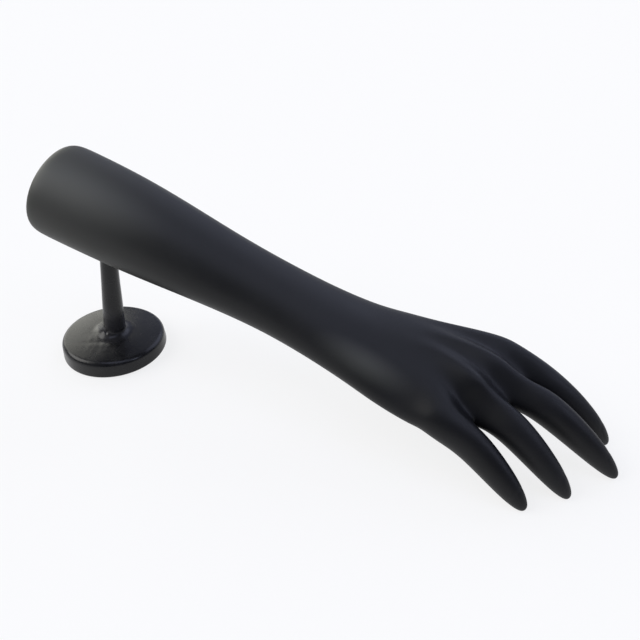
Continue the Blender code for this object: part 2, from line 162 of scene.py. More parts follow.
# Fineness of the meshes: radius of the ring next to a turned piece's pole, steps of a turn, levels of
# smoothing, the angle in degrees past which an edge stays sharp, the distance within which a cut's edge
# is welded, and how far a cutter runs past the piece's top and foot
POLE_RADIUS = 0.0005
PEDESTAL_STEPS = 256
PAD_STEPS = 160
PLUG_STEPS = 96
HOLE_STEPS = 48
SMOOTH_LEVELS = 4
SHARP_ANGLE = 40.0
SHARP_FELT_ANGLE = 60.0
CUT_WELD = 0.000002
CUT_OVERRUN = (0.010, 0.002)

# Painted highlights on the paint, below the elbow and along the heel of the hand, and a paler patch at
# the post's foot: middle, turn in degrees and half axes
ELBOW_HIGHLIGHT = ((0.0000, -0.0220, 0.1565), (0.0, 21.0, 1.6), (0.092, 0.024, 0.024))
HEEL_HIGHLIGHT = ((0.2140, -0.0297, 0.0684), (0.0, 16.3, -7.3), (0.042, 0.013, 0.013))
FOOT_PALE_PATCH = ((0.0030, -0.0060, 0.0270), (0.0, 0.0, 0.0), (0.018, 0.018, 0.024))

# Stretches along the arm over which dust and a painted highlight thin out from the elbow, and over which
# the paint turns darker and bluer to the fingers as painted shade and cool light
DUST_AND_HIGHLIGHT_REACH = (-0.05, 0.12)
FINGER_SHADE_REACH = (0.14, 0.30)

# Tones in linear light; the arm's paint, thin and full, is given at the forearm and at the fingers, where
# it is darker and bluer as painted shade and cool light
ARM_THIN = ((0.0080, 0.0083, 0.0086), (0.0028, 0.0030, 0.0038))
ARM_FULL = ((0.0110, 0.0114, 0.0118), (0.0044, 0.0047, 0.0060))
# Dust and a painted highlight, paler towards the elbow
ARM_DUST_AND_HIGHLIGHT = (0.050, 0.050, 0.043)
ARM_SPECK = (0.16, 0.16, 0.15)
# Painted highlight along the heel of the hand
HEEL_HIGHLIGHT_TONE = (0.042, 0.043, 0.039)
# Painted highlight below the elbow
ELBOW_HIGHLIGHT_TONE = (0.084, 0.085, 0.074)
ENAMEL = ((0.0070, 0.0070, 0.0074), (0.0110, 0.0110, 0.0112))
# Paler tone round the post's foot
ENAMEL_PALE = (0.040, 0.039, 0.041)
ENAMEL_SPECK = (0.10, 0.10, 0.09)
WOOL = ((0.006, 0.006, 0.007), (0.026, 0.026, 0.027))
WOOL_FIBRE = (0.040, 0.040, 0.040)
RESIN = ((0.28, 0.24, 0.17), (0.38, 0.33, 0.24))
RESIN_BUBBLE = (0.12, 0.10, 0.07)
BRASS = ((0.70, 0.52, 0.21), (0.52, 0.36, 0.13))
ZINC = ((0.62, 0.62, 0.61), (0.46, 0.46, 0.46))

# Span of the noise over which the mottle goes from thin to full paint
MOTTLE_SPAN = (0.32, 0.68)

# Roughness from the glossiest to the dullest places
ARM_ROUGHNESS = (0.47, 0.54)
ENAMEL_ROUGHNESS = (0.24, 0.29)
WOOL_ROUGHNESS = (0.85, 1.0)
RESIN_ROUGHNESS = (0.50, 0.65)
METAL_ROUGHNESS = (0.25, 0.45)

# Floor: half its side, its drop below the stand, the paper's grey, and the share of it that is its own
# white to the eye and in gloss, while the rest takes light and shadow
FLOOR_REACH = 8.0
FLOOR_DROP = 0.0002
FLOOR_PAPER = 0.75
FLOOR_WHITE = 0.80

# Lamps: name, azimuth from +X towards +Y and elevation of where the light comes from, spread, all in
# degrees, strength and tone
YELLOW = (1.0, 0.99, 0.89)
WARM = (1.0, 0.985, 0.955)
COOL = (0.85, 0.91, 1.20)
LAMPS = (
    ("window", 205.0, 38.0, 44.0, 1.96, WARM),
    ("low_window", 152.0, 24.0, 48.0, 1.40, YELLOW),
    ("behind", 86.0, 27.0, 66.0, 0.36, COOL),
    ("back_right", 60.0, 35.0, 50.0, 0.65, COOL),
    ("right", 5.0, 33.0, 30.0, 0.38, COOL),
    ("small_lamp", 348.0, 36.0, 8.0, 0.14, COOL),
    ("overhead", 330.0, 72.0, 52.0, 0.74, COOL),
)

# Room: the way to its brighter side, the span over which it brightens, and its strengths
ROOM_WAY = (0.10, 0.90, 0.40)
ROOM_SPAN = (-0.20, 0.80)
ROOM_STRENGTH = (0.11, 0.18)

# Camera: place, dip below the level and turn in degrees, and the lens and its sensor in millimetres
CAMERA_PLACE = (0.29446, -0.32758, 0.33140)
CAMERA_DIP = 36.8
CAMERA_TURN = 20.0
CAMERA_LENS = 36.5625
CAMERA_SENSOR = 36.0
CAMERA_CLIP = 0.01

# Places that follow from them
COLUMNS = 9
EVEN_COLUMNS = (np.arange(COLUMNS) - COLUMNS // 2) * (180.0 / COLUMNS)
FOREARM_WAY = np.array([math.cos(FOREARM_SLOPE), 0.0, -math.sin(FOREARM_SLOPE)])
ELBOW_Z = WRIST_HEIGHT + FOREARM_LENGTH * math.sin(FOREARM_SLOPE)
POST_AXIS_Z = ELBOW_Z - POST_SETBACK * math.sin(FOREARM_SLOPE)
ELBOW_X = POST_AXIS_Z * math.tan(POST_LEAN) - POST_SETBACK * math.cos(FOREARM_SLOPE)
ELBOW = np.array([ELBOW_X, 0.0, ELBOW_Z])
WRIST = ELBOW + FOREARM_LENGTH * FOREARM_WAY
AXIS_TO_FOREARM = POST_AXIS_Z / math.cos(POST_LEAN)
CORE_AT_POST = MOUTH_RADIUS + (CORE_END_RADIUS - MOUTH_RADIUS) * POST_SETBACK / CORE_DEPTH
POST_TOP = AXIS_TO_FOREARM - CORE_AT_POST / math.cos(FOREARM_SLOPE - POST_LEAN) + POST_ENGAGEMENT
POST_NECK = AXIS_TO_FOREARM - ELBOW_HALF[1] - FOREARM_SWELL[0] - POST_TOP_RADIUS
PAD_ROOF = PAD_THICKNESS + FIT_GAP


def smoothstep(value):
    """3t^2 - 2t^3, with t held between 0 and 1."""
    t = np.clip(value, 0.0, 1.0)
    return t * t * (3.0 - 2.0 * t)


def bell(points, centre, size):
    """exp(-(d / size)^2), where d is the distance from the centre."""
    return np.exp(-(np.linalg.norm(points - np.array(centre), axis=1) / size) ** 2)


def swell(count):
    """A cage ring of n points is 3 / (2 + cos(2 pi / n)) wider than the smooth ring that it makes."""
    return 3.0 / (2.0 + math.cos(2.0 * math.pi / count))


def uneven(points, wavelength, phase):
    """Slow unevenness of a hand-finished casting, -1 to 1: mean of three sines in skew directions."""
    ways = np.array([[0.9, 0.35, 0.2], [-0.3, 0.8, 0.55], [0.25, -0.5, 0.85]])
    turns = points @ ways.T * (2.0 * math.pi / wavelength) + phase * np.array([1.0, 2.3, 4.1])
    wander = 0.7 * np.sin(turns[:, ::-1] * 0.61)
    return np.sin(turns + wander).mean(axis=1)


def relief_of(points, waves):
    """Sum of the waves' heights times their unevenness."""
    return sum(height * uneven(points, wavelength, phase) for height, wavelength, phase in waves)


def grid_faces(rows, columns, start=0):
    """Four-sided faces of a grid whose columns close on themselves, as an array of corner numbers."""
    row, column = np.meshgrid(np.arange(rows - 1) * columns, np.arange(columns), indexing="ij")
    beside = (column + 1) % columns
    corners = (row + column, row + columns + column, row + columns + beside, row + beside)
    return start + np.stack(corners, axis=-1).reshape(-1, 4)


def strip_faces(ring):
    """Faces across a ring, from its first half to its second half, given the numbers of its corners."""
    ring = np.asarray(ring)
    half = len(ring) // 2
    ahead = np.arange(half - 1)
    return np.stack([ring[ahead], ring[ahead + 1], ring[-2 - ahead], ring[-1 - ahead]], axis=-1)


def mesh_of(name, points, faces):
    """Mesh with its faces turned outwards."""
    mesh = bpy.data.meshes.new(name)
    mesh.from_pydata(points.reshape(-1, 3).tolist(), [], [list(face) for face in faces])
    work = bmesh.new()
    work.from_mesh(mesh)
    bmesh.ops.recalc_face_normals(work, faces=work.faces)
    work.to_mesh(mesh)
    work.free()
    return mesh


def in_scene(name, data):
    """New object of that data, linked to the scene."""
    made = bpy.data.objects.new(name, data)
    bpy.context.scene.collection.objects.link(made)
    return made


def piece_of(mesh):
    return in_scene(mesh.name, mesh)


def applied(piece):
    """The piece's mesh with its modifiers worked in, put back on the piece."""
    bpy.context.view_layer.update()
    made = bpy.data.meshes.new_from_object(piece.evaluated_get(bpy.context.evaluated_depsgraph_get()))
    made.name = piece.name
    piece.modifiers.clear()
    piece.data = made
    return made


def cut(piece, *meshes):
    """Takes the closed meshes away from the piece, and welds the slivers left along the cuts' edges."""
    tools = [piece_of(mesh) for mesh in meshes]
    for tool in tools:
        modifier = piece.modifiers.new(tool.name, "BOOLEAN")
        modifier.operation = "DIFFERENCE"
        modifier.solver = "EXACT"
        modifier.object = tool
    work = bmesh.new()
    work.from_mesh(applied(piece))
    bmesh.ops.remove_doubles(work, verts=work.verts, dist=CUT_WELD)
    bmesh.ops.dissolve_degenerate(work, edges=work.edges, dist=CUT_WELD)
    work.to_mesh(piece.data)
    work.free()
    for tool in tools:
        bpy.data.objects.remove(tool)


def smooth(piece, sharp):
    piece.data.shade_smooth()
    piece.data.set_sharp_from_angle(angle=math.radians(sharp))


def coordinates(mesh):
    points = np.empty(len(mesh.vertices) * 3)
    mesh.vertices.foreach_get("co", points)
    return points.reshape(-1, 3)


def push_out(mesh, relief, floor=-math.inf):
    """Moves every point along its normal by its own relief, but not below the floor."""
    normals = np.empty(len(mesh.vertices) * 3)
    mesh.vertex_normals.foreach_get("vector", normals)
    points = coordinates(mesh) + relief[:, None] * normals.reshape(-1, 3)
    points[:, 2] = np.maximum(points[:, 2], floor)
    mesh.vertices.foreach_set("co", points.ravel())
    mesh.update()


def turned_points(profile, steps):
    """Surface of revolution: (r(s) cos a, r(s) sin a, h(s)) for each row s of the profile and angle a."""
    angle = np.arange(steps) * (2.0 * math.pi / steps)
    radius, height = profile[:, :1], profile[:, 1:]
    return np.stack([radius * np.cos(angle), radius * np.sin(angle), height + 0.0 * angle], axis=-1)


def closed_turning(name, grid):
    """Mesh of a turned grid, closed at both ends by a fan to the middle of the end row."""
    rows, steps = grid.shape[:2]
    ends = np.stack([grid[0].mean(axis=0), grid[-1].mean(axis=0)])
    points = np.concatenate([grid.reshape(-1, 3), ends])
    step = np.arange(steps)
    beside = (step + 1) % steps
    top = np.stack([np.full(steps, rows * steps), step, beside], axis=-1)
    last = (rows - 1) * steps
    bottom = np.stack([np.full(steps, rows * steps + 1), last + beside, last + step], axis=-1)
    faces = grid_faces(rows, steps).tolist() + top.tolist() + bottom.tolist()
    return mesh_of(name, points, faces)


def arc(centre, radius, start, stop, count):
    """Points of a circular arc in the profile's plane, from one angle to another in degrees."""
    angle = np.radians(np.linspace(start, stop, count))[:, None]
    return np.array(centre) + radius * np.concatenate([np.cos(angle), np.sin(angle)], axis=1)


def line(start, stop, count):
    """Points of a straight run of the profile."""
    return np.linspace(start, stop, count)


def on_forearm(points):
    """Turned points, whose height is a depth from the elbow's end, laid along the forearm's axis."""
    up = np.array([math.sin(FOREARM_SLOPE), 0.0, math.cos(FOREARM_SLOPE)])
    across = np.array([0.0, 1.0, 0.0])
    return ELBOW + points[..., :1] * -up + points[..., 1:2] * across + points[..., 2:] * FOREARM_WAY


def on_post(points, share=1.0):
    """Upright points tipped about the base's centre by a share of the post's lean."""
    cosine, sine = np.cos(POST_LEAN * share), np.sin(POST_LEAN * share)
    x, y, z = points[..., 0], points[..., 1], points[..., 2]
    return np.stack([x * cosine + z * sine, y, z * cosine - x * sine], axis=-1)


# Arm: one cage of rings for forearm, palm, fingers and thumb, smoothed, with relief

def section_rings(centres, breadths, thicknesses, slopes, rolls, hollows, columns):
    """Ellipses square to a sloping axis, rolled about it: c + b sin(a) side + t cos(a) up over the
    back, for each column's angle a, then c + b sin(e) side - t cos(e) up under the palm, for even
    angles e, which a hollow times cos(e)^4 lifts."""
    across = np.array([0.0, 1.0, 0.0])
    upward = np.stack([np.sin(slopes), 0.0 * slopes, np.cos(slopes)], axis=-1)
    turn = rolls[:, None]
    side = (across * np.cos(turn) + upward * np.sin(turn))[:, None]
    up = (upward * np.cos(turn) - across * np.sin(turn))[:, None]
    above = np.radians(columns)[..., None]
    below = np.radians(EVEN_COLUMNS)[None, :, None]
    grown = swell(2 * COLUMNS)
    middle = centres[:, None]
    breadth = (breadths * grown)[:, None, None] * side
    thickness = (thicknesses * grown)[:, None, None] * up
    lift = hollows[:, None, None] * np.cos(below) ** 4 * up
    back = middle + np.sin(above) * breadth + np.cos(above) * thickness
    palm = middle + np.sin(below) * breadth - np.cos(below) * thickness + lift
    return np.concatenate([back, palm[:, ::-1]], axis=1)


def forearm_rings():
    """Forearm's sections: half sizes ease from elbow to wrist by smoothstep, swollen by half a sine."""
    places = np.array(FOREARM_PLACES) * FOREARM_LENGTH
    distance = np.concatenate([[0.0, 0.0, ELBOW_ROUND], places])
    inset = np.array([ELBOW_ROUND] + [0.0] * (len(distance) - 1))
    begin, finish = FOREARM_TAPER
    taper = smoothstep((distance - begin) / (FOREARM_LENGTH - begin - finish))
    most, place = FOREARM_SWELL
    fullness = most / 2.0 * np.sin(math.pi / 2.0 * np.minimum(distance / place, 2.0))
    breadth = ELBOW_HALF[0] + (WRIST_HALF[0] - ELBOW_HALF[0]) * taper + fullness - inset
    thickness = ELBOW_HALF[1] + (WRIST_HALF[1] - ELBOW_HALF[1]) * taper + fullness - inset
    centres = ELBOW + distance[:, None] * FOREARM_WAY + fullness[:, None] * np.array([0.0, 0.0, 1.0])
    level = np.zeros(len(distance))
    columns = np.tile(EVEN_COLUMNS, (len(distance), 1))
    return section_rings(centres, breadth, thickness, level + FOREARM_SLOPE, level, level, columns)


class Digit:
    """Tapering finger along a circular arc in the upright plane through its knuckle and its tip."""

    def __init__(self, knuckle, tip, bend, half_width, half_height, hand=1.0):
        self.knuckle = np.array([WRIST[0] + knuckle[0], knuckle[1], WRIST_HEIGHT - knuckle[2]])
        self.half_width = half_width
        self.half_height = half_height
        chord = np.array([WRIST[0] + tip[0], tip[1], tip[2]]) - self.knuckle
        finger_shade = math.hypot(chord[0], chord[1])
        self.forward = np.array([chord[0] / finger_shade, chord[1] / finger_shade, 0.0])
        self.side = hand * np.array([-self.forward[1], self.forward[0], 0.0])
        self.bend = math.radians(bend)
        self.radius = math.hypot(finger_shade, chord[2]) / (2.0 * math.sin(self.bend / 2.0))
        self.start = math.atan2(chord[2], finger_shade) + self.bend / 2.0

    def size(self, share):
        """(1 - taper s) sqrt(1 - s^n): slow taper, then a rounded point."""
        return (1.0 - FINGER_TAPER * share) * np.sqrt(np.maximum(1.0 - share ** FINGER_POINT, 0.0))

    def rings(self, shares):
        """Rings of six points round the arc: centre(s) + size(s) (w cos(a) side + h sin(a) up(s))."""
        share = np.atleast_1d(np.asarray(shares, float))
        angle = self.start - self.bend * share
        along = self.radius * (math.sin(self.start) - np.sin(angle))
        rise = self.radius * (np.cos(angle) - math.cos(self.start))
        upright = np.array([0.0, 0.0, 1.0])
        centre = self.knuckle + along[:, None] * self.forward + rise[:, None] * upright
        up = np.cos(angle)[:, None] * upright - np.sin(angle)[:, None] * self.forward
        around = np.radians([180.0 - FLANK, 90.0, FLANK, -FLANK, -90.0, FLANK - 180.0])[None, :, None]
        across = self.half_width * np.cos(around) * self.side
        raised = self.half_height * np.sin(around) * up[:, None]
        return centre[:, None] + (self.size(share) * swell(6))[:, None, None] * (across + raised)

    def local(self, points):
        """Share along the arc, offset to the side and height above the arc, for every point."""
        away = points - self.knuckle
        along = away @ self.forward - self.radius * math.sin(self.start)
        rise = away[:, 2] + self.radius * math.cos(self.start)
        share = (self.start - np.arctan2(-along, rise)) / self.bend
        return share, away @ self.side, np.hypot(along, rise) - self.radius


def joined_ring(fingers, shares, valley, thickness, edge):
    """One ring round all the fingers, with a valley of a given depth and thickness between each two,
    and with the hand's edge standing out beside the first."""
    rings = np.concatenate([finger.rings(share) for finger, share in zip(fingers, shares)])
    crest = (rings[:-1, 1] + rings[1:, 1]) / 2.0
    floor = (rings[:-1, 4] + rings[1:, 4]) / 2.0
    down = (floor - crest) / np.linalg.norm(floor - crest, axis=1)[:, None]
    backs = np.stack([crest + down * valley, rings[1:, 1]], axis=1).reshape(-1, 3)
    palms = np.stack([crest + down * (valley + thickness), rings[1:, 4]], axis=1).reshape(-1, 3)
    back = np.concatenate([rings[0, :2], backs, rings[-1:, 2]])
    palm = np.concatenate([rings[0, 5:3:-1], palms, rings[-1:, 3]])
    back[0] -= edge * fingers[0].side
    palm[0] -= edge * fingers[0].side
    return np.concatenate([back, palm[::-1]])


def trunk_rings(fingers):
    """Rings of the forearm, of the hand's sections and of the finger roots, and the heel ring's number."""
    sections = np.array([HEEL, THENAR, PALM])
    centres = np.stack([WRIST[0] + sections[:, 0], sections[:, 1], WRIST_HEIGHT - sections[:, 2]], axis=-1)
    rolls, slopes = np.radians(sections[:, 5:7]).T
    columns = EVEN_COLUMNS + np.array(FINGER_LINES)[:, None] * (np.array(FINGER_COLUMNS) - EVEN_COLUMNS)
    hand = section_rings(centres, *sections[:, 3:5].T, slopes, rolls, sections[:, 7], columns)
    hand[-1, FURROW_COLUMNS, 2] -= FURROW
    joined = [joined_ring(fingers, *ring) for ring in (KNUCKLE_RING, CLEFT_RING, WEB_RING)]
    forearm = forearm_rings()
    return np.concatenate([forearm, hand, np.stack(joined)]), len(forearm)


def arm_cage(fingers, thumb):
    """Corners and faces of the arm's cage: trunk rings from elbow to webs, then each digit's rings. The
    thumb grows out of the two faces that are left open at the heel's thumb side."""
    trunk, heel = trunk_rings(fingers)
    around = trunk.shape[1]
    number = np.arange(len(trunk) * around).reshape(len(trunk), around)
    thumb_side = COLUMNS - 1
    taken = [heel * around + thumb_side, (heel + 1) * around + thumb_side]
    faces = [np.delete(grid_faces(len(trunk), around), taken, axis=0), strip_faces(number[0])]
    corners = [trunk.reshape(-1, 3)]
    over, under = number[-1], number[-1][::-1]
    spans = [slice(2 * finger, 2 * finger + 3) for finger in range(len(fingers))]
    roots = [np.concatenate([over[span], under[span][::-1]]) for span in spans]
    root = number[heel:heel + 3]
    roots.append(np.concatenate([root[:, thumb_side], root[::-1, thumb_side + 1]]))
    places = [FINGER_PLACES] * len(fingers) + [THUMB_PLACES]
    start = trunk.shape[0] * around
    for digit, joint, shares in zip(fingers + [thumb], roots, places):
        rings = digit.rings(shares)
        six = np.arange(6)
        beside = (six + 1) % 6
        first = np.stack([joint[six], start + six, start + beside, joint[beside]], axis=-1)
        last = start + (len(rings) - 1) * 6 + six
        faces += [first, grid_faces(len(rings), 6, start), strip_faces(last)]
        corners.append(rings.reshape(-1, 3))
        start += rings.shape[0] * 6
    return np.concatenate(corners), np.concatenate(faces)


def nail_relief(digit, points):
    """Depth of a shallow groove round the nail: a bell over f = 1, where f is the superellipse of the
    offset along and across the fingertip's back. Points under the digit or away from its tip stay as
    they are."""
    share, side, height = digit.local(points)
    width = NAIL_WIDTH * digit.half_width * digit.size(np.clip(share, 0.0, TIP_SHARE))
    across = np.abs(side / np.maximum(width, TIP_WIDTH))
    along = np.abs((share - NAIL_MIDDLE) / NAIL_HALF_LENGTH)
    edge = (across ** NAIL_SQUARENESS + along ** NAIL_SQUARENESS) ** (1.0 / NAIL_SQUARENESS)
    begin, end = NAIL_SHARES
    back = smoothstep(height / NAIL_FADE_HEIGHT) * smoothstep((share - begin) / NAIL_FADE)
    near = back * (np.abs(side) < NAIL_SIDE) * (height < NAIL_HEIGHT) * (share < end)
    groove = np.exp(-(((edge - 1.0) / NAIL_GROOVE_WIDTH) ** 2))
    rise = smoothstep((1.0 - edge) / NAIL_FADE_EDGE)
    return near * (NAIL_RISE * rise - NAIL_GROOVE * groove)


def make_arm():
    """Smoothed cage with nails and slow unevenness pushed along the normals, flat where it rests, then
    cored from the elbow's mouth and bored for the post."""
    fingers = [Digit(*values) for values in (LITTLE_FINGER, RING_FINGER, MIDDLE_FINGER, INDEX_FINGER)]
    thumb = Digit(*THUMB, hand=-1.0)
    arm = piece_of(mesh_of("arm_skin", *arm_cage(fingers, thumb)))
    smoothing = arm.modifiers.new("Smooth form", "SUBSURF")
    smoothing.levels = SMOOTH_LEVELS
    smoothing.render_levels = SMOOTH_LEVELS
    mesh = applied(arm)
    points = coordinates(mesh)
    nails = sum(nail_relief(digit, points) for digit in fingers + [thumb])
    push_out(mesh, relief_of(points, ARM_WAVES) + nails, floor=0.0)
    core = np.array([[MOUTH_RADIUS, -ELBOW_ROUND], [CORE_END_RADIUS, CORE_DEPTH]])
    core[0, 0] += (MOUTH_RADIUS - CORE_END_RADIUS) * ELBOW_ROUND / CORE_DEPTH
    hole_radius = POST_TOP_RADIUS + FIT_GAP
    hole = np.array([[hole_radius, POST_TOP + FIT_GAP], [hole_radius, BASE_HEIGHT]])
    cut(arm, closed_turning("core", on_forearm(turned_points(core, PLUG_STEPS))),
        closed_turning("post_hole", on_post(turned_points(hole, HOLE_STEPS))))
    smooth(arm, SHARP_ANGLE)
    return arm


# Elbow plug, pedestal and pad: turned profiles

def make_plug():
    """Turned disc in the elbow's mouth: a dished face, an eased edge and the core's taper."""
    radius = MOUTH_RADIUS - FIT_GAP
    taper = (MOUTH_RADIUS - CORE_END_RADIUS) * PLUG_THICKNESS / CORE_DEPTH
    ease = PLUG_EASE
    pole = 2.0 * POLE_RADIUS
    profile = np.concatenate([
        line((pole, PLUG_DISH[0]), (radius - 4.0 * ease, PLUG_DISH[1]), 14),
        line((radius - 3.2 * ease, 0.0), (radius - 1.6 * ease, 0.0), 3),
        arc((radius - ease, ease), ease, -90.0, 0.0, 7),
        line((radius - 0.3 * taper, 0.3 * PLUG_THICKNESS), (radius - taper, PLUG_THICKNESS), 4),
        line((radius - taper - ease, PLUG_THICKNESS), (pole, PLUG_THICKNESS), 8),
    ])
    plug = piece_of(closed_turning("elbow_plug_skin", on_forearm(turned_points(profile, PLUG_STEPS))))
    smooth(plug, SHARP_ANGLE)
    return plug


def dome(start, stop, count):
    """Cubic between two points of the profile that leaves one at the first slope and reaches the other
    at the second: Hermite weights of the heights and of the slopes times the run."""
    share = np.linspace(0.0, 1.0, count)
    run = stop[0] - start[0]
    leave, finger_shade = (-math.tan(math.radians(slope)) * run for slope in DOME_SLOPES)
    ease = smoothstep(share)
    height = start[1] + ease * (stop[1] - start[1])
    height = height + leave * share * (1.0 - share) ** 2 - finger_shade * share ** 2 * (1.0 - share)
    return np.stack([start[0] + run * share, height], axis=-1)


def pedestal_profile():
    """Half outline from the post's top down its side, through the foot's fillet, over the base's dome
    and shoulder, down its leaning wall, and under it to the pad's seat."""
    fillet_centre = (POST_FOOT_RADIUS + DOME_FILLET, DOME_TOP + DOME_FILLET)
    fillet = arc(fillet_centre, DOME_FILLET, 180.0, 270.0 - DOME_SLOPES[0], 40)
    lean = math.radians(WALL_LEAN)
    lower_centre = np.array([BASE_RADIUS - BASE_LOWER_ROUND, BASE_LIFT + BASE_LOWER_ROUND])
    smaller = SHOULDER_ROUND - BASE_LOWER_ROUND
    wall = (SHOULDER_HEIGHT - lower_centre[1] + smaller * math.sin(lean)) / math.cos(lean)
    shoulder_radius = lower_centre[0] - smaller * math.cos(lean) - wall * math.sin(lean)
    shoulder_centre = (shoulder_radius, SHOULDER_HEIGHT)
    shoulder = arc(shoulder_centre, SHOULDER_ROUND, 90.0 - DOME_SLOPES[1], WALL_LEAN, 16)
    lower = arc(lower_centre, BASE_LOWER_ROUND, WALL_LEAN, -90.0, 10)
    seat = PAD_RADIUS + FIT_GAP
    return np.concatenate([
        line((POLE_RADIUS, POST_TOP), (POST_TOP_RADIUS, POST_TOP), 6),
        line((POST_TOP_RADIUS, POST_NECK + NECK_RUN), (POST_TOP_RADIUS, POST_NECK), 3),
        line((POST_TOP_RADIUS, POST_NECK), fillet[0], 40)[1:-1],
        fillet,
        dome(fillet[-1], shoulder[0], 22)[1:-1],
        shoulder,
        line(shoulder[-1], lower[0], 8)[1:-1],
        lower,
        line((seat, BASE_LIFT), (seat, PAD_ROOF), 3),
        line((seat - SEAT_EASE, PAD_ROOF), (POLE_RADIUS, PAD_ROOF), 12),
    ])


def make_pedestal():
    """Turned profile, its base's top a little out of true, tipped above the base. Along its normals go
    the lumps of a rough casting, most of them round the post's foot, and the bells of a bubble's pit
    there and of a nick in the rim. The rod's bore and the nut's recess are cut last."""
    grid = turned_points(pedestal_profile(), PEDESTAL_STEPS)
    height = grid[..., 2].copy()
    below_fillet = smoothstep((DOME_TOP + DOME_FILLET - height) / DOME_FILLET)
    above_seat = smoothstep((height - PAD_ROOF) / DOME_TOP)
    grid[..., 2] += below_fillet * above_seat * (grid[..., 0] * TOP_TILT[0] + grid[..., 1] * TOP_TILT[1])
    share = smoothstep((grid[..., 2] - DOME_TOP) / DOME_FILLET)
    pedestal = piece_of(closed_turning("pedestal_skin", on_post(grid, share)))
    points = coordinates(pedestal.data)
    above_foot = smoothstep((points[:, 2] - LUMPS_FROM) / LUMPS_FROM)
    below_neck = smoothstep((POST_NECK - points[:, 2]) / NECK_RUN)
    rough = bell(points, FOOT_ROUGH, FOOT_ROUGH_SIZE)
    lumps = relief_of(points, PEDESTAL_WAVES) + rough * relief_of(points, FOOT_WAVES)
    lumps -= FOOT_PIT_DEPTH * bell(points, FOOT_PIT, FOOT_PIT_SIZE)
    lumps -= RIM_NICK_DEPTH * bell(points, RIM_NICK, RIM_NICK_SIZE)
    push_out(pedestal.data, above_foot * below_neck * lumps)
    bore_radius = ROD_RADIUS + FIT_GAP
    past_top, past_foot = CUT_OVERRUN
    bore = np.array([[bore_radius, POST_TOP + past_top], [bore_radius, RECESS_TOP],
                     [RECESS_RADIUS, RECESS_TOP], [RECESS_RADIUS, -past_foot]])
    cut(pedestal, closed_turning("bore_and_recess", on_post(turned_points(bore, HOLE_STEPS))))
    smooth(pedestal, SHARP_ANGLE)
    return pedestal


def make_pad():
    """Felt disc: rounded edge, with a fine fuzz that stays within its outline."""
    ease = PAD_EASE
    profile = np.concatenate([
        line((POLE_RADIUS, PAD_THICKNESS), (PAD_RADIUS - 2.0 * ease, PAD_THICKNESS), 30),
        arc((PAD_RADIUS - ease, PAD_THICKNESS - ease), ease, 90.0, 0.0, 6),
        arc((PAD_RADIUS - ease, ease), ease, 0.0, -90.0, 6),
        line((PAD_RADIUS - 2.0 * ease, 0.0), (POLE_RADIUS, 0.0), 30),
    ])
    pad = piece_of(closed_turning("base_pad_felt", turned_points(profile, PAD_STEPS)))
    deepest = sum(height for height, wavelength, phase in PAD_WAVES)
    push_out(pad.data, relief_of(coordinates(pad.data), PAD_WAVES) - deepest)
    smooth(pad, SHARP_FELT_ANGLE)
    return pad


# Materials

def node(tree, kind, inputs=None, **settings):
    """New node with its settings; an input given as a socket is linked, any other value is set on it."""
    made = tree.nodes.new(kind)
    for name, value in settings.items():
        setattr(made, name, value)
    for name, value in (inputs or {}).items():
        if isinstance(value, bpy.types.NodeSocket):
            tree.links.new(value, made.inputs[name])
        else:
            made.inputs[name].default_value = value
    return made


def noise(tree, place, scale, detail):
    inputs = {"Vector": place, "Scale": scale, "Detail": detail}
    return node(tree, "ShaderNodeTexNoise", inputs).outputs["Fac"]


def ranged(tree, value, to=(0.0, 1.0), span=(0.0, 1.0), **settings):
    """Value taken from one span to another."""
    inputs = {"Value": value, "From Min": span[0], "From Max": span[1], "To Min": to[0], "To Max": to[1]}
    return node(tree, "ShaderNodeMapRange", inputs, **settings).outputs["Result"]


def eased(tree, value, to=(0.0, 1.0), span=(0.0, 1.0)):
    """Value taken from one span to another by smoothstep."""
    return ranged(tree, value, to, span, interpolation_type="SMOOTHSTEP")


def mixed(tree, share, first, second):
    """Colour between two, each a socket or a tone."""
    tones = [end if isinstance(end, bpy.types.NodeSocket) else colour(end) for end in (first, second)]
    inputs = {"Factor": share, "A": tones[0], "B": tones[1]}
    return node(tree, "ShaderNodeMix", inputs, data_type="RGBA").outputs["Result"]


def raised(tree, shader, height, distance, strength=1.0):
    bump = node(tree, "ShaderNodeBump", {"Height": height, "Distance": distance, "Strength": strength})
    tree.links.new(bump.outputs["Normal"], shader.inputs["Normal"])


def colour(tone):
    return (*tone, 1.0)


def soft_patch(tree, place, centre, turn, size):
    """Mask of a soft oval patch: 1 in its middle, falling smoothly to 0 at the ends of its half axes."""
    angles = tuple(math.radians(angle) for angle in turn)
    inputs = {"Vector": place, "Location": centre, "Rotation": angles, "Scale": size}
    local = node(tree, "ShaderNodeMapping", inputs, vector_type="TEXTURE").outputs["Vector"]
    inner = node(tree, "ShaderNodeTexGradient", {"Vector": local}, gradient_type="SPHERICAL").outputs["Fac"]
    return eased(tree, inner)


def new_group(name, numbers, outputs):
    """Empty shader group: a Position and named numbers go in, and named numbers come out."""
    tree = bpy.data.node_groups.new(name, "ShaderNodeTree")
    tree.interface.new_socket("Position", in_out="INPUT", socket_type="NodeSocketVector")
    for label, value in numbers.items():
        socket = tree.interface.new_socket(label, in_out="INPUT", socket_type="NodeSocketFloat")
        socket.default_value = value
    for label in outputs:
        tree.interface.new_socket(label, in_out="OUTPUT", socket_type="NodeSocketFloat")
    return tree, tree.nodes.new("NodeGroupInput").outputs, tree.nodes.new("NodeGroupOutput").inputs


